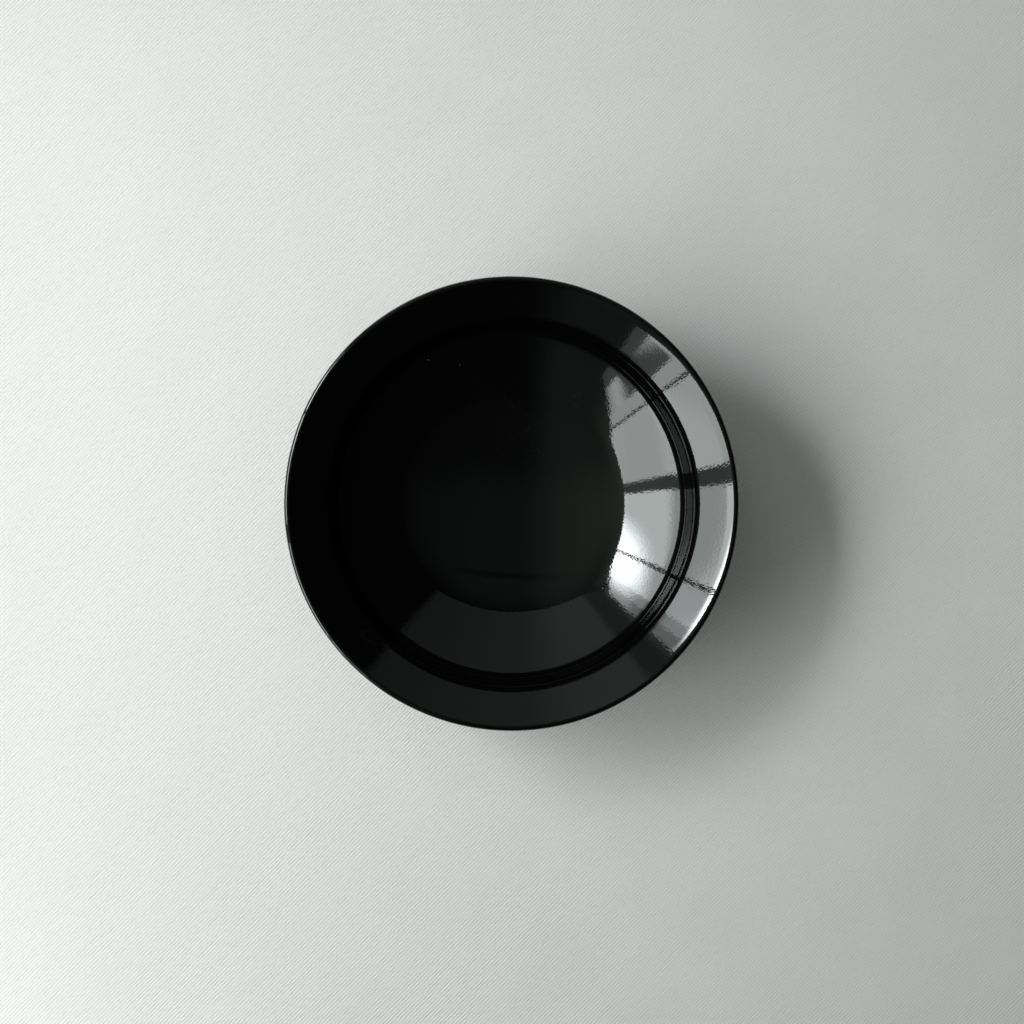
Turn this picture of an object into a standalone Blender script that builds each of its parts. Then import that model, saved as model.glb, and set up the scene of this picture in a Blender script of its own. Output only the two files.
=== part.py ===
"""A stoneware rice bowl with a dished well, a stepped riser, a sloping flange and a turned foot ring.

The bowl is one clay body with a glaze coat that wraps it from the middle of the well, over the lip, to a
line on the foot, and a second patch of glaze inside the foot ring. The ring itself is wiped bare.

Units are metres, +Z is up, the bowl's axis is Z and it stands on the plane z = 0. Every piece is turned
from a half section in the XZ plane. A Pen draws the section as a chain of tangent lines and arcs and keeps
the heading at each point, so a coat and the clay under it are parallel curves of the same section.
"""

from math import asin, atan2, cos, hypot, pi, radians, sin, sqrt

import bmesh
import bpy

# Inside of the bowl, measured over the glaze
# Slopes are from level, each at the end of the curve above it
BASE_CURVE = 0.1105  # radius of the shallow dish in the middle
BASE_SLOPE_DEG = 19.8
KNEE_ROUND = 0.0357  # soft knee between the dish and the side of the well
KNEE_SLOPE_DEG = 26.3
SIDE_CURVE = 0.1300  # radius of the side, up to the riser
SIDE_SLOPE_DEG = 34.6
RISER_FILLET = 0.0079  # hollow curve at the foot of the riser
RISER_SLOPE_DEG = 62.5
RISER_LENGTH = 0.0030  # straight stretch, along the slope
SHOULDER_ROUND = 0.0078  # round edge at the top of the riser
FLANGE_SLOPE_DEG = 36.2
FLANGE_LENGTH = 0.0099  # straight stretch, along the slope
LIP_EASE_RADIUS = 0.0146  # the flange flattens on this radius towards the lip
LIP_EASE_SLOPE_DEG = 29.3
LIP_RADIUS = 0.0013

# Outside of the bowl, measured over the glaze
WALL = 0.0042  # thickness at the riser and above it
UNDERCUT_ROUND = 0.0040  # hollow curve outside, behind the shoulder
OUTER_CURVE = 0.1600  # radius of the outside from the riser to the foot
FOOT_FILLET = 0.0025  # where the outside runs into the foot ring

# Foot ring and base, measured on the bare clay
FOOT_DIAMETER = 0.0620
FOOT_WIDTH = 0.0050
FOOT_ROUND = 0.0010  # both edges of the standing face
RECESS_DEPTH = 0.0068
RECESS_FILLET = 0.0022  # where the ring's inner wall meets the recess
BASE_THICKNESS = 0.0058  # clay between the recess and the middle of the well

# Glaze
GLAZE = 0.00045
COAT_GAP = 0.00010  # clearance between a coat and the clay
COAT = GLAZE + COAT_GAP
GLAZE_LINE = 0.0042  # height of the outer coat's edge above the table
RECESS_GLAZE_LINE = 0.0032  # height of the inner patch's edge above the table

# Facets
TURN_STEPS = 56
BASE_STEPS = 3
KNEE_STEPS = 2
SIDE_STEPS = 2
CURVE_STEPS = 3
EASE_STEPS = 1
LIP_STEPS = 5
EDGE_STEPS = 3
AXIS_MERGE = 0.00001  # points this near the axis are on it

# Headings of the pen: outwards along +X is 0, and half a turn less is back towards the axis
OUTWARD = 0.0
DOWN = -pi / 2
INWARD = -pi
UP = -3 * pi / 2


class Pen:
    """Draws a half section as tangent lines and arcs, with the material on the right of its way."""

    def __init__(self, start, heading):
        self.points = [start]
        self.headings = [heading]

    def centre(self, radius):
        """Centre of a curve to the left of the pen, or to the right if the radius is negative."""
        x, z = self.points[-1]
        heading = self.headings[-1]
        return x - radius * sin(heading), z + radius * cos(heading)

    def line(self, length):
        """Goes straight on."""
        x, z = self.points[-1]
        heading = self.headings[-1]
        self.points.append((x + length * cos(heading), z + length * sin(heading)))
        self.headings.append(heading)

    def arc(self, radius, heading, steps=CURVE_STEPS):
        """Turns to a new heading, to the left if it is greater than the pen's own and else to the right."""
        start = self.headings[-1]
        reach = radius if heading > start else -radius
        x, z = self.centre(reach)
        for step in range(1, steps + 1):
            now = start + (heading - start) * step / steps
            self.points.append((x + reach * sin(now), z - reach * cos(now)))
            self.headings.append(now)

    def parallel(self, depth):
        """The same section at a depth inside the material, or outside it if the depth is negative."""
        stations = zip(self.points, self.headings)
        return [(x + depth * sin(heading), z - depth * cos(heading)) for (x, z), heading in stations]


def crossing_tangent(right_centre, right_radius, left_centre, left_radius):
    """Heading and length of the line that leaves one circle on its right and meets one on its left."""
    across = left_centre[0] - right_centre[0]
    along = left_centre[1] - right_centre[1]
    apart = hypot(across, along)
    radii = right_radius + left_radius
    return atan2(along, across) - asin(radii / apart), sqrt(apart**2 - radii**2)


def draw_inside(pen):
    """Well, riser, flange and the easing towards the lip. Returns the point behind the top of the riser."""
    pen.arc(BASE_CURVE, radians(BASE_SLOPE_DEG), BASE_STEPS)
    pen.arc(KNEE_ROUND, radians(KNEE_SLOPE_DEG), KNEE_STEPS)
    pen.arc(SIDE_CURVE, radians(SIDE_SLOPE_DEG), SIDE_STEPS)
    pen.arc(RISER_FILLET, radians(RISER_SLOPE_DEG))
    pen.line(RISER_LENGTH)
    behind_riser = pen.centre(-WALL)
    pen.arc(SHOULDER_ROUND, radians(FLANGE_SLOPE_DEG))
    pen.line(FLANGE_LENGTH)
    pen.arc(LIP_EASE_RADIUS, radians(LIP_EASE_SLOPE_DEG), EASE_STEPS)
    return behind_riser


def draw_outside(pen, behind_riser):
    """Lip, underside of the flange, stepped outside and foot ring, down to the glaze line."""
    riser_slope = radians(RISER_SLOPE_DEG)
    x, z = behind_riser
    undercut = x + UNDERCUT_ROUND * sin(riser_slope), z - UNDERCUT_ROUND * cos(riser_slope)
    heading, length = crossing_tangent(pen.centre(-LIP_RADIUS), LIP_RADIUS, undercut, UNDERCUT_ROUND)
    pen.arc(LIP_RADIUS, heading, LIP_STEPS)
    pen.line(length)
    pen.arc(UNDERCUT_ROUND, riser_slope - pi)
    pen.line(RISER_LENGTH)
    pen.arc(RISER_FILLET + WALL, radians(SIDE_SLOPE_DEG) - pi)

    fillet_x = FOOT_DIAMETER / 2 + COAT + FOOT_FILLET - pen.centre(-OUTER_CURVE)[0]
    fillet_z = -sqrt((OUTER_CURVE + FOOT_FILLET) ** 2 - fillet_x**2)
    pen.arc(OUTER_CURVE, atan2(fillet_z, fillet_x) + DOWN)
    pen.arc(FOOT_FILLET, DOWN)
    pen.line(pen.points[-1][1] - GLAZE_LINE)


def draw_coated_surface():
    """The glazed surface, from the middle of the well over the lip to the glaze line on the foot."""
    pen = Pen((0.0, RECESS_DEPTH + BASE_THICKNESS + COAT), OUTWARD)
    behind_riser = draw_inside(pen)
    draw_outside(pen, behind_riser)
    return pen


def draw_bare_ring(start):
    """The ring that is wiped bare: its outer side, standing face and inner side."""
    pen = Pen(start, DOWN)
    pen.line(GLAZE_LINE - FOOT_ROUND)
    pen.arc(FOOT_ROUND, INWARD)
    pen.line(FOOT_WIDTH - 2 * FOOT_ROUND)
    pen.arc(FOOT_ROUND, UP)
    pen.line(RECESS_GLAZE_LINE - FOOT_ROUND)
    return pen


def draw_recess(start):
    """The clay that the foot ring encloses, from the inner glaze line to the axis."""
    pen = Pen(start, UP)
    pen.line(RECESS_DEPTH - RECESS_FILLET - RECESS_GLAZE_LINE)
    pen.arc(RECESS_FILLET, INWARD)
    pen.line(pen.points[-1][0])
    return pen


def coat_section(first_face, second_face):
    """Closes a coat between two faces: down the first, round its edge, and back along the second."""
    edge = Pen(first_face[-1], DOWN)
    edge.arc(GLAZE / 2, UP, EDGE_STEPS)
    return first_face + edge.points[1:-1] + second_face


def glazed_finish(name):
    """Glossy black glaze."""
    return make_material(name, colour=(0.006, 0.006, 0.006), roughness=0.07)


def fired_clay_finish(name):
    """Bare stoneware, warm grey and dull."""
    return make_material(name, colour=(0.30, 0.24, 0.18), roughness=0.85)


def make_material(name, colour, roughness):
    """A Principled material of one colour and roughness."""
    material = bpy.data.materials.new(name)
    material.use_nodes = True
    shader = material.node_tree.nodes["Principled BSDF"]
    shader.inputs["Base Color"].default_value = (*colour, 1.0)
    shader.inputs["Roughness"].default_value = roughness
    shader.inputs["Metallic"].default_value = 0.0
    material.diffuse_color = (*colour, 1.0)
    return material


def turn(name, section, material, parent, collection):
    """Turns a half section round Z into a closed piece."""
    profile = bmesh.new()
    points = [profile.verts.new((x, 0.0, z)) for x, z in section]
    for first, second in zip(points, points[1:]):
        profile.edges.new((first, second))
    mesh = bpy.data.meshes.new(name)
    profile.to_mesh(mesh)
    profile.free()
    mesh.materials.append(material)

    piece = bpy.data.objects.new(name, mesh)
    piece.parent = parent
    collection.objects.link(piece)
    screw = piece.modifiers.new("turned on the wheel", "SCREW")
    screw.axis = "Z"
    screw.steps = TURN_STEPS
    screw.render_steps = TURN_STEPS
    screw.use_merge_vertices = True
    screw.merge_threshold = AXIS_MERGE
    screw.use_smooth_shade = True
    return piece


def clear_scene():
    """Removes what the scene starts with."""
    for item in list(bpy.data.objects):
        bpy.data.objects.remove(item, do_unlink=True)


def main():
    """Draws the sections and turns the three pieces."""
    clear_scene()
    collection = bpy.data.collections.new("rice_bowl")
    bpy.context.scene.collection.children.link(collection)
    axis = bpy.data.objects.new("bowl_axis", None)
    collection.objects.link(axis)

    surface = draw_coated_surface()
    clay_face = surface.parallel(COAT)
    ring = draw_bare_ring(clay_face[-1])
    recess = draw_recess(ring.points[-1])

    clay = clay_face + ring.points[1:] + recess.points[1:]
    coat = coat_section(surface.points, surface.parallel(GLAZE)[::-1])
    patch = coat_section(recess.parallel(-COAT_GAP)[::-1], recess.parallel(-COAT))

    turn("stoneware_body", clay, fired_clay_finish("bare_stoneware"), axis, collection)
    turn("glaze_coat", coat, glazed_finish("black_glaze"), axis, collection)
    turn("foot_recess_glaze", patch, glazed_finish("black_recess_glaze"), axis, collection)


main()
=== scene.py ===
"""Looks of a black stoneware rice bowl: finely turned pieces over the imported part, finishes, table and light.

The bowl's axis is Z, it stands on z = 0 and lengths are metres. Each piece is a half section in the XZ plane,
drawn as tangent lines and arcs and then turned about Z. Seen in the picture, +X is east and +Y is north.
"""

import logging
import math
from dataclasses import dataclass, field
from enum import Enum
from functools import reduce
from typing import Any, NamedTuple

import bmesh
import bpy
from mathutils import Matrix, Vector, noise


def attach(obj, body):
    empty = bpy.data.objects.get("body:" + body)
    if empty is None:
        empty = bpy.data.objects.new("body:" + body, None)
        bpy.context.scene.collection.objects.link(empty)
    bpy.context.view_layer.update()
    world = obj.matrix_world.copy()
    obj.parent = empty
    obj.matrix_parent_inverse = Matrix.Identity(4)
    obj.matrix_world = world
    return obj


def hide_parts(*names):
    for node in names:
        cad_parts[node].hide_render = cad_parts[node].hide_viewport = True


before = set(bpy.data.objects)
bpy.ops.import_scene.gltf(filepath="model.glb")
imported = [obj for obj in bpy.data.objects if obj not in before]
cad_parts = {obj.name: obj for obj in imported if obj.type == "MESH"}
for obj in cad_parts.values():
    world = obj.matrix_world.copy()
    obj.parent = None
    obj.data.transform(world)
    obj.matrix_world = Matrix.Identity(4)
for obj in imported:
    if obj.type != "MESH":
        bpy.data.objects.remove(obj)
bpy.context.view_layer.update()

Colour = tuple[float, float, float, float]

BODY = "root"
WELD = 0.000001  # points this near each other are one
EAST = Vector((1.0, 0.0, 0.0))
Z_AXIS = Vector((0.0, 0.0, 1.0))
SECTION_AXIS = Vector((0.0, -1.0, 0.0))  # a turn about it raises the pen's heading
BACKDROP: Colour = (0.55, 0.57, 0.56, 1.0)  # what the cover runs into and the room has behind it

log = logging.getLogger("rice_bowl")


class Heading(float, Enum):
    """Ways a section pen can face, in radians from straight outwards."""

    OUTWARD = 0.0
    DOWN = -math.pi / 2
    INWARD = -math.pi
    UP = -3 * math.pi / 2


class Finish(Enum):
    """Material slots of the record."""

    GLAZE = "black_glaze"
    CLAY = "bare_stoneware"


def smoothstep(low: float, high: float, value: float) -> float:
    """Rises smoothly from 0 at low to 1 at high."""
    share = min(max((value - low) / (high - low), 0.0), 1.0)
    return share * share * (3 - 2 * share)


@dataclass(frozen=True)
class Fineness:
    """How finely a section is cut into facets.

    Attributes:
        facet: longest facet along the section.
        bend: widest turn from one facet to the next, in radians.
    """

    facet: float
    bend: float

    def steps(self, length: float, turn: float = 0.0) -> int:
        """Facets for a stretch of that length and turn."""
        return max(1, math.ceil(length / self.facet), math.ceil(abs(turn) / self.bend))


FINE = Fineness(facet=0.0010, bend=math.radians(4))
EDGE = Fineness(facet=0.0005, bend=math.radians(12))
HIDDEN = Fineness(facet=0.0030, bend=math.radians(10))


@dataclass(frozen=True)
class Stroke:
    """One stretch that a pen has drawn, an arc or a straight line.

    Attributes:
        start: heading at its start.
        size: signed radius of an arc, or length of a line.
        straight: whether it is a line.
    """

    start: float
    size: float
    straight: bool


class SectionPen:
    """Draws a half section as tangent lines and arcs, with the material on the right of its way."""

    def __init__(
        self, start: tuple[float, float], heading: float, fineness: Fineness, depth: float = 0.0
    ) -> None:
        """Puts the pen down.

        Args:
            start: distance from the axis and height of the first point.
            heading: the way the pen faces.
            fineness: how finely curves and lines are cut.
            depth: depth inside the material at which the strokes are drawn.
        """
        self.mesh = bmesh.new()
        self.tip = self.mesh.verts.new((start[0], 0.0, start[1]))
        self.heading = float(heading)
        self.fineness = fineness
        self.depth = depth
        self.strokes: list[Stroke] = []

    def centre(self, radius: float) -> Vector:
        """Centre of a curve to the left of the pen, or to the right if the radius is negative."""
        left = Vector((-math.sin(self.heading), 0.0, math.cos(self.heading)))
        return self.tip.co + left * (radius + self.depth)

    def line(self, length: float) -> None:
        """Goes straight on.

        Args:
            length: how far the pen goes.
        """
        steps = self.fineness.steps(length)
        way = Vector((math.cos(self.heading), 0.0, math.sin(self.heading)))
        for _ in range(steps):
            self.tip = bmesh.ops.extrude_vert_indiv(self.mesh, verts=[self.tip])["verts"][0]
            bmesh.ops.translate(self.mesh, verts=[self.tip], vec=way * length / steps)
        self.strokes.append(Stroke(self.heading, length, straight=True))

    def arc(self, radius: float, heading: float) -> None:
        """Turns to a new heading, to the left if it is greater than the pen's own.

        Args:
            radius: radius of the curve at the surface, before the pen's depth.
            heading: the new heading.
        """
        turn = heading - self.heading
        reach = math.copysign(radius, turn)
        steps = self.fineness.steps(abs(turn * (reach + self.depth)), turn)
        spun = bmesh.ops.spin(
            self.mesh, geom=[self.tip], cent=self.centre(reach), axis=SECTION_AXIS, angle=turn, steps=steps
        )
        self.tip = next(item for item in spun["geom_last"] if isinstance(item, bmesh.types.BMVert))
        self.strokes.append(Stroke(self.heading, reach, straight=False))
        self.heading = float(heading)

    def close_coat(self, thickness: float) -> None:
        """Rounds the coat's edge and goes back under everything drawn so far, to the axis.

        Args:
            thickness: thickness of the coat.
        """
        drawn = list(self.strokes)
        self.fineness = EDGE
        self.arc(thickness / 2, self.heading - math.pi)
        self.fineness = HIDDEN
        for stroke in reversed(drawn):
            if stroke.straight:
                self.line(stroke.size)
            else:
                self.arc(abs(stroke.size + thickness), stroke.start - math.pi)

    def turn(self, steps: int) -> bmesh.types.BMesh:
        """Turns the section about Z into a closed, smooth mesh.

        Args:
            steps: facets round the axis.

        Returns:
            The turned mesh, with its faces pointing outwards.
        """
        outline = self.mesh.verts[:] + self.mesh.edges[:]
        bmesh.ops.spin(
            self.mesh, geom=outline, cent=Vector(), axis=Z_AXIS, angle=math.tau, steps=steps, use_merge=True
        )
        bmesh.ops.remove_doubles(self.mesh, verts=self.mesh.verts[:], dist=WELD)
        bmesh.ops.recalc_face_normals(self.mesh, faces=self.mesh.faces[:])
        for face in self.mesh.faces:
            face.smooth = True
        self.mesh.normal_update()
        return self.mesh


@dataclass(frozen=True)
class BowlSection:
    """The bowl's section over the glaze, and the bare foot under it. Slopes are degrees from level."""

    # Inside, from the middle of the well to the lip, with each slope at the end of the curve before it
    base_curve: float = 0.1105
    base_slope: float = 19.8
    knee_round: float = 0.0357
    knee_slope: float = 26.3
    side_curve: float = 0.1300
    side_slope: float = 34.6
    riser_fillet: float = 0.0079
    riser_slope: float = 62.5
    riser_length: float = 0.0030
    shoulder_round: float = 0.0078
    flange_slope: float = 36.2
    flange_length: float = 0.00984
    lip_ease: float = 0.0146
    lip_ease_slope: float = 29.3
    lip_round: float = 0.0013
    # Outside
    wall: float = 0.0042
    undercut_round: float = 0.0040
    outer_curve: float = 0.1600
    foot_fillet: float = 0.0025
    # Foot and base, on the bare clay
    foot_radius: float = 0.0310
    foot_width: float = 0.0050
    foot_round: float = 0.0010
    recess_depth: float = 0.0068
    recess_fillet: float = 0.0022
    base: float = 0.0058
    # Glaze, with the heights of its two edges
    glaze: float = 0.00045
    coat_gap: float = 0.00010
    glaze_line: float = 0.0042
    recess_line: float = 0.0032

    @property
    def coat(self) -> float:
        """Glaze and the gap under it."""
        return self.glaze + self.coat_gap

    def draw_face(self, fineness: Fineness, depth: float = 0.0) -> SectionPen:
        """Draws the glazed face from the middle of the well, over the lip, to the glaze line on the foot.

        Args:
            fineness: how finely the face is cut.
            depth: depth inside the material, for the clay under the coat.

        Returns:
            The pen, at the glaze line and facing down.
        """
        riser = math.radians(self.riser_slope)
        middle = self.recess_depth + self.base + self.coat - depth
        pen = SectionPen((0.0, middle), Heading.OUTWARD, fineness, depth)
        pen.arc(self.base_curve, math.radians(self.base_slope))
        pen.arc(self.knee_round, math.radians(self.knee_slope))
        pen.arc(self.side_curve, math.radians(self.side_slope))
        pen.arc(self.riser_fillet, riser)
        pen.line(self.riser_length)
        undercut = pen.centre(-self.wall - self.undercut_round)
        pen.arc(self.shoulder_round, math.radians(self.flange_slope))
        pen.line(self.flange_length)
        pen.arc(self.lip_ease, math.radians(self.lip_ease_slope))
        self.draw_underside(pen, undercut, riser)
        return pen

    def draw_underside(self, pen: SectionPen, undercut: Vector, riser: float) -> None:
        """Draws the lip, the underside of the flange, the outside and the foot's side.

        Args:
            pen: the pen, at the top of the lip.
            undercut: centre of the hollow behind the shoulder.
            riser: steepest slope of the riser, in radians.
        """
        apart = undercut - pen.centre(-self.lip_round)
        radii = self.lip_round + self.undercut_round
        pen.arc(self.lip_round, math.atan2(apart.z, apart.x) - math.asin(radii / apart.length))
        pen.line(math.sqrt(apart.length_squared - radii**2))
        pen.arc(self.undercut_round, riser - math.pi)
        pen.line(self.riser_length)
        pen.arc(self.riser_fillet + self.wall, math.radians(self.side_slope) - math.pi)
        across = self.foot_radius + self.coat + self.foot_fillet - pen.centre(-self.outer_curve).x
        along = -math.sqrt((self.outer_curve + self.foot_fillet) ** 2 - across**2)
        pen.arc(self.outer_curve, math.atan2(along, across) + Heading.DOWN)
        pen.arc(self.foot_fillet, Heading.DOWN)
        pen.line(pen.tip.co.z - self.glaze_line)


@dataclass(frozen=True)
class Ramp:
    """A smooth change from one value to another.

    Attributes:
        low: where it starts.
        high: where it ends.
        start: the value up to low.
        end: the value from high on.
    """

    low: float
    high: float
    start: float = 0.0
    end: float = 1.0


class NodeSheet:
    """Adds and links the nodes of one tree."""

    def __init__(self, tree: bpy.types.NodeTree) -> None:
        """Takes over an empty tree."""
        self.tree = tree
        tree.nodes.clear()

    def add(self, kind: str, inputs: dict[Any, Any] | None = None, **settings: Any) -> bpy.types.Node:
        """Adds a node.

        Args:
            kind: the node's type, without its ShaderNode prefix.
            inputs: values or sockets for its inputs, by name or number.
            settings: properties of the node.

        Returns:
            The node.
        """
        node = self.tree.nodes.new(kind if kind.startswith("Node") else "ShaderNode" + kind)
        for name, value in settings.items():
            setattr(node, name, value)
        for name, value in (inputs or {}).items():
            if isinstance(value, bpy.types.NodeSocket):
                self.tree.links.new(value, node.inputs[name])
            else:
                node.inputs[name].default_value = value
        return node

    def math(self, operation: str, *values: Any) -> bpy.types.NodeSocket:
        """Output of a Math node on the given values or sockets."""
        return self.add("Math", dict(enumerate(values)), operation=operation).outputs[0]

    def product(self, *values: Any) -> bpy.types.NodeSocket:
        """Output of Math nodes that multiply all the values."""
        return reduce(lambda first, second: self.math("MULTIPLY", first, second), values)

    def fit(self, value: Any, ramp: Ramp) -> bpy.types.NodeSocket:
        """Output of a smooth Map Range that follows a ramp."""
        inputs = {"Value": value, "From Min": ramp.low, "From Max": ramp.high}
        inputs |= {"To Min": ramp.start, "To Max": ramp.end}
        return self.add("MapRange", inputs, interpolation_type="SMOOTHSTEP").outputs["Result"]

    def mix(self, share: Any, first: Any, second: Any) -> bpy.types.NodeSocket:
        """Output of a colour mix, through the Mix node's sockets for colours."""
        return self.add("Mix", {0: share, 6: first, 7: second}, data_type="RGBA").outputs[2]

    def place(self) -> bpy.types.NodeSocket:
        """The piece's own coordinates, in metres."""
        return self.add("TexCoord").outputs["Object"]

    def noise(
        self, place: Any, scale: Any, detail: float = 2.0, roughness: float = 0.5
    ) -> bpy.types.NodeSocket:
        """Value of a Noise Texture."""
        inputs = {"Vector": place, "Scale": scale, "Detail": detail, "Roughness": roughness}
        return self.add("TexNoise", inputs).outputs[0]

    def group(self, tree: bpy.types.NodeTree, **inputs: Any) -> bpy.types.NodeSocket:
        """Output of a shared effect with its own values."""
        return self.add("Group", inputs, node_tree=tree).outputs[0]

    def surface(
        self, colour: Any, rough: Any, height: Any, relief: float, **constants: float
    ) -> bpy.types.NodeSocket:
        """Adds a Principled shader with a relief.

        Args:
            colour: its colour.
            rough: its roughness.
            height: the relief, as a share of its full height.
            relief: that full height.
            constants: other inputs of the shader.

        Returns:
            The shader's output.
        """
        bump = self.add("Bump", {"Strength": 1.0, "Distance": relief, "Height": height}).outputs[0]
        inputs = {"Base Color": colour, "Roughness": rough, "Normal": bump, **constants}
        return self.add("BsdfPrincipled", inputs).outputs[0]


@dataclass(frozen=True)
class Scatter:
    """How specks lie over a surface.

    Attributes:
        scale: cells per metre.
        share: share of the cells that hold a speck.
        size: reach of the largest speck, as a share of a cell.
    """

    scale: float
    share: float
    size: float


class SharedEffects:
    """Effects that more than one finish uses, each built once as a node group."""

    def __init__(self) -> None:
        """Builds the groups."""
        self.peel = self.build_peel()
        self.specks = self.build_specks()
        self.turning = self.build_turning()

    @staticmethod
    def start(name: str, inputs: list[str], output: str) -> tuple[NodeSheet, bpy.types.Node]:
        """Starts a group.

        Args:
            name: the group's name.
            inputs: names of its float inputs.
            output: name of its one float output.

        Returns:
            The sheet to add nodes to, and the group's input node.
        """
        tree = bpy.data.node_groups.new(name, "ShaderNodeTree")
        for socket in inputs:
            tree.interface.new_socket(socket, in_out="INPUT", socket_type="NodeSocketFloat")
        tree.interface.new_socket(output, in_out="OUTPUT", socket_type="NodeSocketFloat")
        sheet = NodeSheet(tree)
        return sheet, sheet.add("NodeGroupInput")

    def build_peel(self) -> bpy.types.NodeTree:
        """Builds the orange peel and slow ripples that glaze sets with.

        Returns:
            A group whose output is a height.
        """
        sheet, given = self.start("glaze_peel", ["Peel", "Ripple", "Swell"], "Height")
        place = sheet.place()
        peel = sheet.noise(place, given.outputs["Peel"], 1.0)
        ripple = sheet.noise(place, given.outputs["Ripple"], 0.0)
        raised = sheet.math("MULTIPLY_ADD", ripple, given.outputs["Swell"], peel)
        sheet.add("NodeGroupOutput", {"Height": raised})
        return sheet.tree

    def build_specks(self) -> bpy.types.NodeTree:
        """Builds small round specks or pinholes, scattered.

        Returns:
            A group whose output is a mask.
        """
        softness = 0.1
        sheet, given = self.start("specks", ["Scale", "Share", "Size"], "Mask")
        cells = sheet.add("TexVoronoi", {"Vector": sheet.place(), "Scale": given.outputs["Scale"]})
        chance = sheet.add("SeparateColor", {0: cells.outputs["Color"]})
        chosen = sheet.math("LESS_THAN", chance.outputs[0], given.outputs["Share"])
        reach = sheet.math("MULTIPLY", given.outputs["Size"], chance.outputs[1])
        near = sheet.math("SUBTRACT", 1.0, sheet.math("DIVIDE", cells.outputs["Distance"], reach))
        dot = sheet.math("SMOOTH_MAX", near, 0.0, softness)
        sheet.add("NodeGroupOutput", {"Mask": sheet.math("MULTIPLY", dot, chosen)})
        return sheet.tree

    def build_turning(self) -> bpy.types.NodeTree:
        """Builds the rings that a tool leaves round the axis.

        Returns:
            A group whose output is a height that depends on the distance from the axis and on z alone.
        """
        sheet, given = self.start("turning_marks", ["Scale"], "Height")
        x, y, z = sheet.add("SeparateXYZ", {0: sheet.place()}).outputs
        squares = [sheet.math("POWER", side, 2.0) for side in (x, y)]
        radius = sheet.math("SQRT", sheet.math("ADD", *squares))
        across = sheet.add("CombineXYZ", {0: radius, 1: z})
        rings = sheet.noise(across.outputs[0], given.outputs["Scale"], 3.0, 0.6)
        sheet.add("NodeGroupOutput", {"Height": rings})
        return sheet.tree

    def scatter(self, sheet: NodeSheet, how: Scatter) -> bpy.types.NodeSocket:
        """Mask of specks on a sheet."""
        return sheet.group(self.specks, Scale=how.scale, Share=how.share, Size=how.size)


def new_material(name: str) -> tuple[bpy.types.Material, NodeSheet]:
    """Starts a material.

    Args:
        name: the material's name.

    Returns:
        The empty node material, and the sheet of its tree.
    """
    material = bpy.data.materials.new(name)
    material.use_nodes = True
    return material, NodeSheet(material.node_tree)


@dataclass(frozen=True)
class Hairlines:
    """Faint scratches that cutlery leaves in the well.

    Attributes:
        shown: share of the scratches that shows.
        sets: turn and offset of each set of them.
        wander: how fast a set's noise runs along its three axes, per metre.
        middle: value of the noise that a scratch follows.
        width: how a scratch fades out away from that value.
        patch_scale: patches of scratches per metre.
        patch: values of the patches' noise between which scratches come in.
    """

    shown: float = 1.0
    sets: tuple[tuple[float, float], ...] = ((0.5, 0.0), (1.9, 3.7), (2.8, 8.1))
    wander: tuple[float, float, float] = (22.0, 130.0, 9.0)
    middle: float = 0.5
    width: Ramp = Ramp(0.0, 0.005, 1.0, 0.0)
    patch_scale: float = 38.0
    patch: tuple[float, float] = (0.58, 0.70)

    def mask(self, sheet: NodeSheet, place: bpy.types.NodeSocket) -> bpy.types.NodeSocket:
        """Draws the scratches.

        Args:
            sheet: the material's nodes.
            place: the piece's coordinates.

        Returns:
            A mask, 1 on a scratch.
        """
        lines = []
        for turn, offset in self.sets:
            moved = {"Vector": place, "Location": (offset, 0.0, 0.0), "Rotation": (0.0, 0.0, turn)}
            mapping = sheet.add("Mapping", moved).outputs[0]
            stretched = sheet.add("VectorMath", {0: mapping, 1: self.wander}, operation="MULTIPLY")
            winding = sheet.noise(stretched.outputs[0], 1.0, 1.0)
            near = sheet.math("ABSOLUTE", sheet.math("SUBTRACT", winding, self.middle))
            lines.append(sheet.fit(near, self.width))
        drawn = reduce(lambda first, second: sheet.math("MAXIMUM", first, second), lines)
        patchy = sheet.fit(sheet.noise(place, self.patch_scale, 2.0), Ramp(*self.patch, 0.0, self.shown))
        return sheet.math("MULTIPLY", drawn, patchy)


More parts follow.
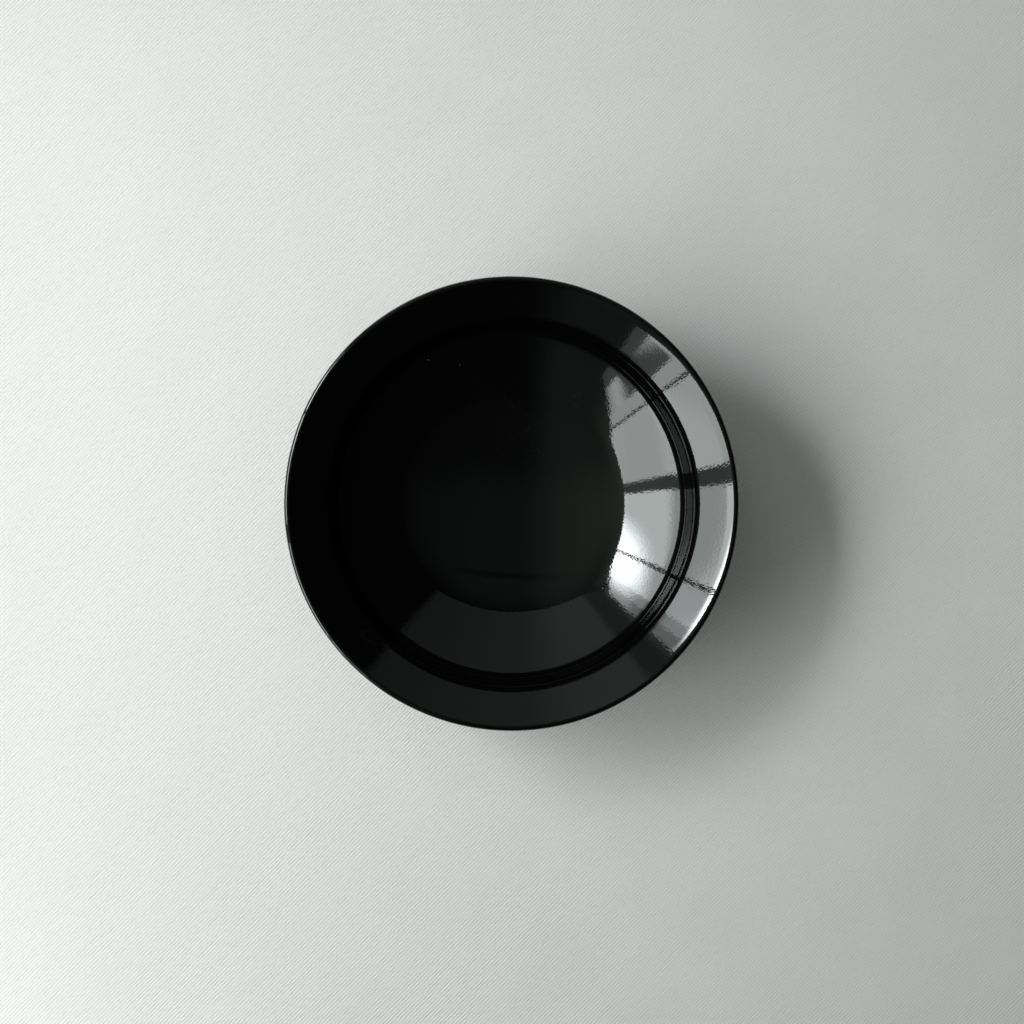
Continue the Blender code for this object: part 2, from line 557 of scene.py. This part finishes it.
@dataclass(frozen=True)
class BlackGlaze:
    """Glossy black glaze with a fine orange peel, pinholes, hairline scratches and a little dust.

    Attributes:
        name: the material's name.
        peel_scale: peel cells per metre.
        ripples: ripples for each peel cell.
        swell: height of a ripple, as a share of the peel.
        relief: height of the peel.
        gloss: roughness of the clean glaze.
        haze: roughness added where it is smeared.
        smear_scale: smears per metre.
        smeared: values of the smears' noise from clean to hazy.
        scratches: its scratches.
        scratch_haze: roughness added on a scratch.
        scratch_depth: depth of a scratch, as a share of the peel.
        pits: its pinholes.
        pit_depth: depth of a pinhole, as a share of the peel.
        dust: the specks of dust on it.
        dust_edge: how a speck's mask becomes its colour.
        rings: how much of the turning marks shows through, as a share of the peel.
        ring_scale: turning marks per metre.
        index: refractive index.
        clean: colour where it is clean.
        film: colour where it is smeared.
        worn: colour of a scratch.
        lint: colour of a speck of dust.
    """

    name: str
    peel_scale: float = 1300.0
    ripples: float = 0.25
    swell: float = 0.4
    relief: float = 0.0000075
    gloss: float = 0.03
    haze: float = 0.02
    smear_scale: float = 45.0
    smeared: tuple[float, float] = (0.42, 0.72)
    scratches: Hairlines = Hairlines()
    scratch_haze: float = 0.12
    scratch_depth: float = 0.35
    pits: Scatter = Scatter(scale=170.0, share=0.10, size=0.045)
    pit_depth: float = 6.0
    dust: Scatter = Scatter(scale=140.0, share=0.50, size=0.05)
    dust_edge: Ramp = Ramp(0.1, 0.4)
    rings: float = 0.0
    ring_scale: float = 700.0
    index: float = 1.6
    clean: Colour = (0.0006, 0.0007, 0.0007, 1.0)
    film: Colour = (0.0014, 0.0013, 0.0012, 1.0)
    worn: Colour = (0.0032, 0.0034, 0.0033, 1.0)
    lint: Colour = (0.150, 0.150, 0.145, 1.0)

    def make(self, effects: SharedEffects) -> bpy.types.Material:
        """Builds the material.

        Args:
            effects: the shared node groups.

        Returns:
            The finished material.
        """
        material, sheet = new_material(self.name)
        place = sheet.place()
        smear = sheet.noise(place, self.smear_scale, 4.0, 0.6)
        scratch = self.scratches.mask(sheet, place)
        dust = effects.scatter(sheet, self.dust)

        colour = sheet.mix(smear, self.clean, self.film)
        colour = sheet.mix(scratch, colour, self.worn)
        colour = sheet.mix(sheet.fit(dust, self.dust_edge), colour, self.lint)
        haze = sheet.fit(smear, Ramp(*self.smeared, self.gloss, self.gloss + self.haze))
        rough = sheet.math("MULTIPLY_ADD", scratch, self.scratch_haze, haze)
        height = self.height(sheet, effects, scratch)
        surface = sheet.surface(colour, rough, height, self.relief, IOR=self.index)
        sheet.add("OutputMaterial", {"Surface": surface})
        return material

    def height(
        self, sheet: NodeSheet, effects: SharedEffects, scratch: bpy.types.NodeSocket
    ) -> bpy.types.NodeSocket:
        """Adds up what stands on the glaze and what is cut into it.

        Args:
            sheet: the material's nodes.
            effects: the shared node groups.
            scratch: the mask of scratches.

        Returns:
            A height, in shares of the peel.
        """
        ripple_scale = self.peel_scale * self.ripples
        peel = sheet.group(effects.peel, Peel=self.peel_scale, Ripple=ripple_scale, Swell=self.swell)
        height = sheet.math("MULTIPLY_ADD", effects.scatter(sheet, self.pits), -self.pit_depth, peel)
        height = sheet.math("MULTIPLY_ADD", scratch, -self.scratch_depth, height)
        if self.rings:
            marks = sheet.group(effects.turning, Scale=self.ring_scale)
            height = sheet.math("MULTIPLY_ADD", marks, self.rings, height)
        return height


@dataclass(frozen=True)
class FiredClay:
    """Bare stoneware: buff, grainy, with turning marks and iron specks.

    Attributes:
        name: the material's name.
        pale: colour of the clay.
        dark: colour of its darker patches.
        iron: colour of a speck.
        specks: its iron specks.
        speck_edge: how a speck's mask becomes its colour.
        grain_scale: grains per metre.
        patch_scale: patches per metre.
        ring_scale: turning marks per metre.
        mottle: weight of the grain, and of the patches, in the colour.
        tone: how that weight runs from dark to pale.
        rough: roughness, by the grain.
        relief: height of the turning marks.
        grain_relief: height of the grain, as a share of the turning marks.
    """

    name: str
    pale: Colour = (0.36, 0.29, 0.22, 1.0)
    dark: Colour = (0.24, 0.185, 0.135, 1.0)
    iron: Colour = (0.07, 0.045, 0.03, 1.0)
    specks: Scatter = Scatter(scale=520.0, share=0.22, size=0.30)
    speck_edge: Ramp = Ramp(0.0, 0.5)
    grain_scale: float = 2600.0
    patch_scale: float = 110.0
    ring_scale: float = 1500.0
    mottle: float = 0.55
    tone: Ramp = Ramp(0.35, 0.75)
    rough: Ramp = Ramp(0.3, 0.7, 0.75, 0.92)
    relief: float = 0.00006
    grain_relief: float = 0.6

    def make(self, effects: SharedEffects) -> bpy.types.Material:
        """Builds the material.

        Args:
            effects: the shared node groups.

        Returns:
            The finished material.
        """
        material, sheet = new_material(self.name)
        place = sheet.place()
        grain = sheet.noise(place, self.grain_scale, 3.0, 0.7)
        patches = sheet.noise(place, self.patch_scale, 4.0, 0.6)
        rings = sheet.group(effects.turning, Scale=self.ring_scale)
        iron = effects.scatter(sheet, self.specks)

        tone = sheet.math("MULTIPLY_ADD", grain, self.mottle, sheet.math("MULTIPLY", patches, self.mottle))
        colour = sheet.mix(sheet.fit(tone, self.tone), self.dark, self.pale)
        colour = sheet.mix(sheet.fit(iron, self.speck_edge), colour, self.iron)
        height = sheet.math("ADD", rings, sheet.math("MULTIPLY", grain, self.grain_relief))
        surface = sheet.surface(colour, sheet.fit(grain, self.rough), height, self.relief)
        sheet.add("OutputMaterial", {"Surface": surface})
        return material


@dataclass(frozen=True)
class TableCover:
    """Pale cover of the table, embossed with a fine diagonal twill whose ribs are also painted into its colour:
    painted shade between them, painted light on their tops.

    Attributes:
        name: the material's name.
        twill: distance between the ribs.
        waver: how far the ribs waver, in radians of their wave.
        waver_scale: wavers per metre.
        relief: height of the ribs.
        wear: how much of a rib is left, by the noise of the wear.
        wear_scale: worn places per metre.
        flatten: how strong a rib and its painted shade are, by how far east it is.
        mottle_scale: mottled patches per metre.
        tone: share of the colour of the rib tops in the middle of a rib.
        rib_painted_shade: how much a rib changes that share, which paints shade between the ribs and light on
            their tops.
        mottle_tone: how much a patch changes it.
        rough: roughness, by the patches.
        groove_painted_shade: colour between the ribs, darker than on their tops as painted shade; the mottled
            patches run towards it too.
        crest_painted_light: colour on top of the ribs, lighter as painted light; the mottled patches run
            towards it too.
        clear: how far from the bowl the cover starts to run into the backdrop.
        gone: where only the backdrop is left.
    """

    name: str = "pale_table_cover"
    twill: float = 0.00107
    waver: float = 4.5
    waver_scale: float = 900.0
    relief: float = 0.000035
    wear: Ramp = Ramp(0.3, 0.7, 0.6, 1.4)
    wear_scale: float = 350.0
    flatten: Ramp = Ramp(-0.10, 0.15, 1.25, 0.78)
    mottle_scale: float = 30.0
    tone: float = 0.35
    rib_painted_shade: float = 0.25
    mottle_tone: float = 0.3
    rough: Ramp = Ramp(0.3, 0.7, 0.6, 0.7)
    groove_painted_shade: Colour = (0.690, 0.675, 0.664, 1.0)
    crest_painted_light: Colour = (0.920, 0.900, 0.886, 1.0)
    clear: float = 0.28
    gone: float = 0.60

    def make(self) -> bpy.types.Material:
        """Builds the material.

        Returns:
            The finished material.
        """
        material, sheet = new_material(self.name)
        place = sheet.place()
        ribs = self.ribs(sheet, place)
        mottle = sheet.noise(place, self.mottle_scale, 4.0, 0.6)
        # The ribs are painted into the colour as well: painted shade between them and painted light on their
        # tops.
        tone = sheet.math("MULTIPLY_ADD", ribs, self.rib_painted_shade, self.tone)
        tone = sheet.math("MULTIPLY_ADD", mottle, self.mottle_tone, tone)
        colour = sheet.mix(tone, self.groove_painted_shade, self.crest_painted_light)
        cover = sheet.surface(colour, sheet.fit(mottle, self.rough), ribs, self.relief)
        away = sheet.add("VectorMath", {0: place}, operation="LENGTH").outputs["Value"]
        seen = sheet.add("LightPath").outputs["Is Camera Ray"]
        share = sheet.math("MULTIPLY", sheet.fit(away, Ramp(self.clear, self.gone)), seen)
        glow = sheet.add("Emission", {0: BACKDROP})
        surface = sheet.add("MixShader", {0: share, 1: cover, 2: glow.outputs[0]})
        sheet.add("OutputMaterial", {"Surface": surface.outputs[0]})
        return material

    def ribs(self, sheet: NodeSheet, place: bpy.types.NodeSocket) -> bpy.types.NodeSocket:
        """Embosses the twill.

        Args:
            sheet: the material's nodes.
            place: the cover's coordinates.

        Returns:
            A height, from -1 between the ribs to 1 on their tops where nothing is worn, which the colour also
            takes as painted shade and light.
        """
        x, y, _ = sheet.add("SeparateXYZ", {0: place}).outputs
        along = sheet.math("SUBTRACT", x, y)
        waver = sheet.math("MULTIPLY", sheet.noise(place, self.waver_scale, 2.0), self.waver)
        phase = sheet.math("MULTIPLY_ADD", along, math.tau / self.twill / math.sqrt(2), waver)
        worn = sheet.fit(sheet.noise(place, self.wear_scale, 1.0), self.wear)
        worn = sheet.math("MULTIPLY", worn, sheet.fit(x, self.flatten))
        return sheet.math("MULTIPLY", sheet.math("SINE", phase), worn)


@dataclass
class TurnedPiece:
    """A piece turned from a section, in the place of one CAD node.

    Attributes:
        section: the bowl's sizes.
        name: the piece's name.
        node: the CAD node it stands for.
        finish: the record's slot for the piece's finish; not used.
        turn_steps: facets round the axis.
        piece: the turned object, once it is built.
    """

    section: BowlSection
    name: str
    node: str
    finish: Finish
    turn_steps: int = 240
    piece: bpy.types.Object | None = field(default=None, init=False)

    def draw(self) -> SectionPen:
        """Draws the piece's section."""
        raise NotImplementedError

    def settle(self, mesh: bmesh.types.BMesh) -> None:
        """Gives the turned mesh what firing leaves on it."""
        raise NotImplementedError

    def build(self) -> bpy.types.Object:
        """Turns the section into an object that rides on the bowl and hides its CAD node.

        Returns:
            The finished object.
        """
        turned = self.draw().turn(self.turn_steps)
        self.settle(turned)
        mesh = bpy.data.meshes.new(self.name)
        turned.to_mesh(mesh)
        turned.free()
        self.piece = bpy.data.objects.new(self.name, mesh)
        bpy.context.scene.collection.objects.link(self.piece)
        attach(self.piece, BODY)
        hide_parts(self.node)
        return self.piece

    def dress(self, material: bpy.types.Material) -> None:
        """Puts a finish on the piece."""
        self.piece.data.materials.append(material)


def foot_wave(angle: float, seed: float) -> float:
    """Uneven height of a wiped glaze line round the foot, from -1 to 1: slow waves and quick ones."""
    ring = Vector((math.cos(angle), math.sin(angle), seed))
    return 0.6 * noise.noise(ring * 1.7) + 0.4 * noise.noise(ring * 5.3)


@dataclass
class GlazeCoat(TurnedPiece):
    """The coat that wraps the clay from the well over the lip to the foot.

    Attributes:
        ripple: depth of the slow unevenness of its face.
        ripple_scale: unevenness per metre.
        line_sway: sway of the glaze line.
        line_seed: which of the foot's waves the line has.
        bead: how far the glaze swells above its line.
        bead_start: heights from the line between which the bead swells.
        bead_end: heights from the line between which bead and sway die out.
    """

    ripple: float = 0.000012
    ripple_scale: float = 85.0
    line_sway: float = 0.0005
    line_seed: float = 2.0
    bead: float = 0.00014
    bead_start: tuple[float, float] = (-0.0004, 0.0007)
    bead_end: tuple[float, float] = (0.0012, 0.0050)

    def draw(self) -> SectionPen:
        """Draws the face and closes the coat under it.

        Returns:
            The pen, back at the axis.
        """
        pen = self.section.draw_face(FINE)
        pen.close_coat(self.section.glaze)
        return pen

    def settle(self, mesh: bmesh.types.BMesh) -> None:
        """Ripples the face, sways the glaze line and swells the bead above it.

        Args:
            mesh: the turned coat.
        """
        size = self.section
        start_low, start_high = (size.glaze_line + height for height in self.bead_start)
        end_low, end_high = (size.glaze_line + height for height in self.bead_end)
        inner, outer = size.foot_radius + size.coat_gap, size.foot_radius + size.coat
        for vert in mesh.verts:
            co = vert.co
            angle = math.atan2(co.y, co.x)
            outward = Vector((math.cos(angle), math.sin(angle), 0.0))
            sunk = self.ripple * (1 + noise.noise(co * self.ripple_scale))
            low = 1 - smoothstep(end_low, end_high, co.z)
            swell = self.bead * smoothstep(inner, outer, math.hypot(co.x, co.y)) * low
            swell *= smoothstep(start_low, start_high, co.z)
            sway = self.line_sway * foot_wave(angle, self.line_seed) * low
            co += vert.normal * -sunk + outward * swell + Z_AXIS * sway


@dataclass
class RecessGlaze(TurnedPiece):
    """The patch of glaze inside the foot ring.

    Attributes:
        line_sway: sway of its edge on the ring's inner side.
        line_seed: which of the foot's waves the edge has.
        sway_reach: height above the edge at which the sway has died out.
    """

    line_sway: float = 0.0004
    line_seed: float = 7.0
    sway_reach: float = 0.0014

    def draw(self) -> SectionPen:
        """Draws the hidden face along the clay and closes the patch under it.

        Returns:
            The pen, back at the axis.
        """
        size = self.section
        pen = SectionPen((0.0, size.recess_depth - size.coat_gap), Heading.OUTWARD, FINE)
        pen.line(size.foot_radius - size.foot_width - size.recess_fillet)
        pen.arc(size.recess_fillet - size.coat_gap, Heading.DOWN)
        pen.line(size.recess_depth - size.recess_fillet - size.recess_line)
        pen.close_coat(size.glaze)
        return pen

    def settle(self, mesh: bmesh.types.BMesh) -> None:
        """Sways the edge.

        Args:
            mesh: the turned patch.
        """
        line = self.section.recess_line
        for vert in mesh.verts:
            low = 1 - smoothstep(line, line + self.sway_reach, vert.co.z)
            vert.co.z += self.line_sway * foot_wave(math.atan2(vert.co.y, vert.co.x), self.line_seed) * low


@dataclass
class StonewareBody(TurnedPiece):
    """The clay body, hidden by glaze but for its foot ring."""

    def draw(self) -> SectionPen:
        """Draws the clay under the coat, the bare ring and the recess.

        Returns:
            The pen, at the axis.
        """
        size = self.section
        pen = size.draw_face(HIDDEN, size.coat)
        pen.depth = 0.0
        pen.fineness = EDGE
        pen.line(size.glaze_line - size.foot_round)
        pen.arc(size.foot_round, Heading.INWARD)
        pen.line(size.foot_width - 2 * size.foot_round)
        pen.arc(size.foot_round, Heading.UP)
        pen.line(size.recess_depth - size.recess_fillet - size.foot_round)
        pen.arc(size.recess_fillet, Heading.INWARD)
        pen.fineness = HIDDEN
        pen.line(pen.tip.co.x)
        return pen

    def settle(self, mesh: bmesh.types.BMesh) -> None:
        """Stands the foot flat on the table."""
        for vert in mesh.verts:
            vert.co.z = max(vert.co.z, 0.0)


@dataclass
class Table:
    """The pale surface that the bowl stands on.

    Attributes:
        radius: how far it reaches.
        facets: facets round its edge.
        cover: its finish.
    """

    radius: float = 8.0
    facets: int = 64
    cover: TableCover = TableCover()

    def build(self) -> None:
        """Lays the surface and gives it its cover."""
        disc = bmesh.new()
        bmesh.ops.create_circle(disc, cap_ends=True, radius=self.radius, segments=self.facets)
        mesh = bpy.data.meshes.new("table")
        disc.to_mesh(mesh)
        disc.free()
        table = bpy.data.objects.new("table", mesh)
        mesh.materials.append(self.cover.make())
        bpy.context.scene.collection.objects.link(table)


@dataclass(frozen=True)
class SoftLamp:
    """A flat soft light.

    Attributes:
        name: the lamp's name.
        place: its middle.
        size: its width and height.
        radiance: how bright its face is.
        aim: the way it faces.
        mirrored: whether glossy pieces show it.
        lighting: whether it lights dull surfaces.
    """

    name: str
    place: Vector
    size: tuple[float, float]
    radiance: float
    aim: Vector
    mirrored: bool = True
    lighting: bool = True

    def hang(self) -> bpy.types.AreaLight:
        """Hangs the lamp.

        Returns:
            Its light, with one brightness over its face.
        """
        lamp = bpy.data.lights.new(self.name, "AREA")
        lamp.shape = "RECTANGLE"
        lamp.size, lamp.size_y = self.size
        lamp.energy = self.radiance * math.pi * lamp.size * lamp.size_y
        holder = bpy.data.objects.new(self.name, lamp)
        holder.location = self.place
        holder.rotation_euler = (-self.aim).to_track_quat("Z", "Y").to_euler()
        holder.visible_camera = False
        holder.visible_glossy = self.mirrored
        holder.visible_diffuse = self.lighting
        bpy.context.scene.collection.objects.link(holder)
        return lamp


@dataclass(frozen=True)
class Pane:
    """One upright panel of the row on the left.

    Attributes:
        near: its first side, as a share of the row's distance.
        far: its other side.
        radiance: how bright its foot is.
        fades: shares of that brightness added upwards, by the share of the row's height.
        lighting: whether it lights the table.
    """

    near: float
    far: float
    radiance: float
    fades: tuple[Ramp, ...] = ()
    lighting: bool = True


@dataclass(frozen=True)
class BrightSpot:
    """The brightest place on the row of panels.

    Attributes:
        side: where it is along the row.
        height: how high it is.
        reach: how far it fades out, along the row and upwards.
        core: share of the reach that has its full brightness.
        radiance: how much brighter its middle is.
    """

    side: float = 0.22
    height: float = 0.54
    reach: tuple[float, float] = (0.20, 0.17)
    core: float = 0.25
    radiance: float = 18.0


class Way(NamedTuple):
    """Parts of the way that a ray leaves in, each from -1 to 1."""

    east: bpy.types.NodeSocket
    north: bpy.types.NodeSocket
    up: bpy.types.NodeSocket


@dataclass(frozen=True)
class DimRoom:
    """The dim room that the glaze mirrors: a grey back wall, a ceiling and a glow on the panels' side.

    Bearings are radians from east towards north.

    Attributes:
        wall_skew: how much the wall turns away to the east.
        wall_top: rise of the wall's upper edge, for each step towards the wall.
        wall_edge: how the wall ends there.
        wall_start: bearings at which the wall comes in.
        wall_end: bearings at which it dims again.
        wall_glow: its brightness, by bearing.
        wall_foot: how it fades towards the table, by the upward part of the way.
        ceiling_glow: brightness of the ceiling, by the upward part of the way.
        ceiling_north: how much of that is left, by the northward part.
        ceiling_west: how much brighter the ceiling is to the west.
        ceiling_east: how much of it is left to the east.
        cornice_rise: rise of the dark line along the ceiling, for each step towards the wall.
        cornice_line: how dark that line is, by the distance from it.
        cornice_length: how much of it is left away from the middle.
        side_glow: brightness on the panels' side, by the eastward part of the way.
        row_glow: more brightness beside the row.
        row_end: where along the row that ends.
        side_foot: how both fade towards the table.
        least: brightness of everything else.
        wall_tint: colour of the wall and below.
        ceiling_tint: colour above it.
    """

    wall_skew: float = 0.07
    wall_top: float = 1.342
    wall_edge: Ramp = Ramp(-0.02, 0.02, 1.0, 0.0)
    wall_start: Ramp = Ramp(0.84, 0.90)
    wall_end: Ramp = Ramp(2.20, 2.26, 1.0, 0.25)
    wall_glow: Ramp = Ramp(0.7, 2.5, 0.115, 0.29)
    wall_foot: Ramp = Ramp(0.31, 0.40)
    ceiling_glow: Ramp = Ramp(0.77, 0.90, 0.0, 0.068)
    ceiling_north: Ramp = Ramp(-0.3, 0.02, 0.3, 1.0)
    ceiling_west: Ramp = Ramp(-0.45, -0.28, 1.9, 1.0)
    ceiling_east: Ramp = Ramp(0.20, 0.42, 1.0, 0.7)
    cornice_rise: float = 2.33
    cornice_line: Ramp = Ramp(0.01, 0.06, 0.6, 0.0)
    cornice_length: Ramp = Ramp(0.2, 0.35, 1.0, 0.0)
    side_glow: Ramp = Ramp(-0.3, -0.05, 0.11, 0.0)
    row_glow: Ramp = Ramp(-0.68, -0.45, 0.28, 0.0)
    row_end: Ramp = Ramp(0.93, 1.05, 1.0, 0.0)
    side_foot: Ramp = Ramp(0.1, 0.6)
    least: float = 0.01
    wall_tint: Colour = (0.90, 1.0, 0.95, 1.0)
    ceiling_tint: Colour = (0.78, 1.0, 0.85, 1.0)

    def fill(self) -> None:
        """Puts the room round the scene, with the backdrop in its place for the camera."""
        world = bpy.data.worlds.new("studio")
        bpy.context.scene.world = world
        world.use_nodes = True
        sheet = NodeSheet(world.node_tree)
        way = Way(*sheet.add("SeparateXYZ", {0: sheet.add("TexCoord").outputs["Generated"]}).outputs)
        to_wall = sheet.math("MULTIPLY_ADD", way.east, self.wall_skew, way.north)
        above_wall = sheet.math("MULTIPLY_ADD", to_wall, -self.wall_top, way.up)
        bright = sheet.math("ADD", self.wall(sheet, way, above_wall), self.ceiling(sheet, way, to_wall))
        glow = sheet.math("ADD", bright, sheet.math("ADD", self.panel_side(sheet, way), self.least))
        above = Ramp(self.wall_edge.low, self.wall_edge.high)
        tint = sheet.mix(sheet.fit(above_wall, above), self.wall_tint, self.ceiling_tint)
        room = sheet.add("Background", {0: tint, 1: glow})
        backdrop = sheet.add("Background", {0: BACKDROP})
        seen = sheet.add("LightPath").outputs["Is Camera Ray"]
        light = sheet.add("MixShader", {0: seen, 1: room.outputs[0], 2: backdrop.outputs[0]})
        sheet.add("OutputWorld", {0: light.outputs[0]})

    def wall(self, sheet: NodeSheet, way: Way, above_wall: bpy.types.NodeSocket) -> bpy.types.NodeSocket:
        """Lights the back wall.

        Args:
            sheet: the world's nodes.
            way: the way of the ray.
            above_wall: how far the ray passes above the wall's upper edge.

        Returns:
            The wall's brightness.
        """
        bearing = sheet.math("ARCTAN2", way.north, way.east)
        return sheet.product(
            sheet.fit(bearing, self.wall_start),
            sheet.fit(above_wall, self.wall_edge),
            sheet.fit(bearing, self.wall_glow),
            sheet.fit(way.up, self.wall_foot),
            sheet.fit(bearing, self.wall_end),
        )

    def ceiling(self, sheet: NodeSheet, way: Way, to_wall: bpy.types.NodeSocket) -> bpy.types.NodeSocket:
        """Lights the ceiling, with a dark line along it.

        Args:
            sheet: the world's nodes.
            way: the way of the ray.
            to_wall: the part of the way towards the back wall.

        Returns:
            The ceiling's brightness.
        """
        off_line = sheet.math("ABSOLUTE", sheet.math("MULTIPLY_ADD", to_wall, -self.cornice_rise, way.up))
        length = sheet.fit(sheet.math("ABSOLUTE", way.east), self.cornice_length)
        cornice = sheet.math("MULTIPLY", sheet.fit(off_line, self.cornice_line), length)
        return sheet.product(
            sheet.fit(way.up, self.ceiling_glow),
            sheet.fit(way.north, self.ceiling_north),
            sheet.fit(way.east, self.ceiling_west),
            sheet.fit(way.east, self.ceiling_east),
            sheet.math("SUBTRACT", 1.0, cornice),
        )

    def panel_side(self, sheet: NodeSheet, way: Way) -> bpy.types.NodeSocket:
        """Lights the side that the panels are on.

        Args:
            sheet: the world's nodes.
            way: the way of the ray.

        Returns:
            The side's brightness.
        """
        along_row = sheet.math("DIVIDE", way.north, sheet.math("MULTIPLY", way.east, -1.0))
        by_row = sheet.product(sheet.fit(along_row, self.row_end), sheet.fit(way.east, self.row_glow))
        side = sheet.math("ADD", sheet.fit(way.east, self.side_glow), by_row)
        return sheet.math("MULTIPLY", side, sheet.fit(way.up, self.side_foot))


@dataclass
class StudioLight:
    """A row of soft panels on the left, a wash over the table, and a dim room.

    Attributes:
        distance: from the bowl's axis to the panels.
        bottom: height of the panels' lower edge.
        top: height of their upper edge.
        panes: the panels.
        spot: their brightest place.
        washes: lamps that brighten the table beside the panels, and fill the shadow from overhead.
        room: what is behind them.
        tint: colour of the panels.
    """

    distance: float = 0.45
    bottom: float = 0.242
    top: float = 0.565
    panes: tuple[Pane, ...] = (
        Pane(-1.40, -1.20, 0.15, (Ramp(0.30, 0.60, 0.0, 2.5),), lighting=False),
        Pane(-1.20, -0.895, 0.5, (Ramp(0.60, 0.79, 0.0, 8.0), Ramp(0.82, 1.10, 0.0, -6.0)), lighting=False),
        Pane(-0.895, -0.7455, 4.1),
        Pane(-0.7195, -0.174, 5.6, (Ramp(0.31, 0.44, 0.0, -0.15), Ramp(0.72, 1.0, 0.0, 0.08))),
        Pane(-0.174, -0.080, 0.2),
        Pane(-0.080, 0.438, 3.8, (Ramp(0.27, 0.375, 0.0, 0.87), Ramp(0.72, 1.0, 0.0, 0.14))),
        Pane(0.466, 0.72, 4.7, (Ramp(0.38, 0.58, 0.0, 0.75),)),
        Pane(0.72, 0.82, 1.7, (Ramp(0.30, 0.45, 0.0, 0.8), Ramp(0.55, 0.72, 0.0, 1.3))),
        Pane(0.82, 0.93, 0.35, (Ramp(0.28, 0.42, 0.0, 3.2), Ramp(0.55, 0.72, 0.0, 6.0)), lighting=False),
    )
    spot: BrightSpot = BrightSpot()
    washes: tuple[SoftLamp, ...] = (
        SoftLamp("table_wash", Vector((-0.30, -0.02, 0.29)), (0.10, 0.56), 1.70, -Z_AXIS, mirrored=False),
        SoftLamp("far_wash", Vector((-0.50, 0.80, 0.90)), (0.40, 0.40), 1.8, -Z_AXIS, mirrored=False),
        SoftLamp("corner_wash", Vector((-0.27, -0.27, 0.12)), (0.10, 0.10), 3.6, -Z_AXIS, mirrored=False),
        SoftLamp("overhead_fill", Vector((0.2, 0.0, 0.90)), (0.8, 0.8), 0.30, -Z_AXIS, mirrored=False),
    )
    room: DimRoom = DimRoom()
    tint: Colour = (0.945, 1.0, 1.0, 1.0)

    def hang(self) -> None:
        """Hangs the lamps and fills the room."""
        middle = (self.bottom + self.top) / 2
        for number, pane in enumerate(self.panes):
            panel = SoftLamp(
                name=f"soft_panel_{number}",
                place=Vector((-self.distance, (pane.near + pane.far) / 2 * self.distance, middle)),
                size=((pane.far - pane.near) * self.distance, self.top - self.bottom),
                radiance=pane.radiance,
                aim=EAST,
                lighting=pane.lighting,
            )
            self.shade(panel.hang(), pane)
        for lamp in self.washes:
            lamp.hang()
        self.room.fill()

    def shade(self, lamp: bpy.types.AreaLight, pane: Pane) -> None:
        """Makes the brightness of a panel run over its face.

        Args:
            lamp: the panel's light.
            pane: its shares.
        """
        lamp.use_nodes = True
        sheet = NodeSheet(lamp.node_tree)
        place = sheet.add("NewGeometry").outputs["Position"]
        up = sheet.add("SeparateXYZ", {0: place}).outputs[2]
        level = sheet.math("DIVIDE", sheet.math("SUBTRACT", up, self.bottom), self.top - self.bottom)
        middle = (-self.distance, self.spot.side, self.spot.height)
        apart = sheet.add("VectorMath", {0: place, 1: middle}, operation="SUBTRACT").outputs[0]
        apart = sheet.add("VectorMath", {0: apart, 1: (1.0, *self.spot.reach)}, operation="DIVIDE").outputs[0]
        reach = sheet.add("VectorMath", {0: apart}, operation="LENGTH").outputs["Value"]
        share = sheet.fit(reach, Ramp(self.spot.core, 1.0, 1.0 + self.spot.radiance / pane.radiance, 1.0))
        for fade in pane.fades:
            share = sheet.math("ADD", share, sheet.fit(level, fade))
        glow = sheet.add("Emission", {0: self.tint, 1: share})
        sheet.add("OutputLight", {0: glow.outputs[0]})


@dataclass(frozen=True)
class OverheadCamera:
    """A camera that looks straight down on the bowl.

    Attributes:
        place: where it hangs.
        lens: focal length in millimetres.
        sensor: width of the sensor in millimetres.
    """

    place: Vector = field(default_factory=lambda: Vector((0.00018, -0.00276, 0.385)))
    lens: float = 36.3
    sensor: float = 36.0

    def hang(self) -> None:
        """Hangs the camera and makes it the scene's own."""
        data = bpy.data.cameras.new("overhead")
        data.lens = self.lens
        data.sensor_width = self.sensor
        camera = bpy.data.objects.new("overhead", data)
        camera.location = self.place
        bpy.context.scene.collection.objects.link(camera)
        bpy.context.scene.camera = camera


def main() -> None:
    """Builds the bowl's pieces, dresses them, and sets the table, light and camera."""
    logging.basicConfig(level=logging.INFO, format="%(name)s: %(message)s")
    section = BowlSection()
    effects = SharedEffects()
    glaze = BlackGlaze("black_glaze").make(effects)
    recess_glaze = BlackGlaze(
        "black_recess_glaze", relief=0.00002, haze=0.06, scratches=Hairlines(shown=0.2), rings=2.0
    ).make(effects)
    clay = FiredClay("bare_stoneware").make(effects)
    assembly = (
        (StonewareBody(section, "clay_body", "stoneware_body", Finish.CLAY), clay),
        (GlazeCoat(section, "black_coat", "glaze_coat", Finish.GLAZE), glaze),
        (RecessGlaze(section, "recess_patch", "foot_recess_glaze", Finish.GLAZE), recess_glaze),
    )
    for part, material in assembly:
        piece = part.build()
        part.dress(material)
        log.info("%s: %d faces, finish %s", piece.name, len(piece.data.polygons), material.name)
    Table().build()
    StudioLight().hang()
    OverheadCamera().hang()
    bpy.context.scene.view_settings.view_transform = "Standard"


if __name__ == "__main__":
    main()
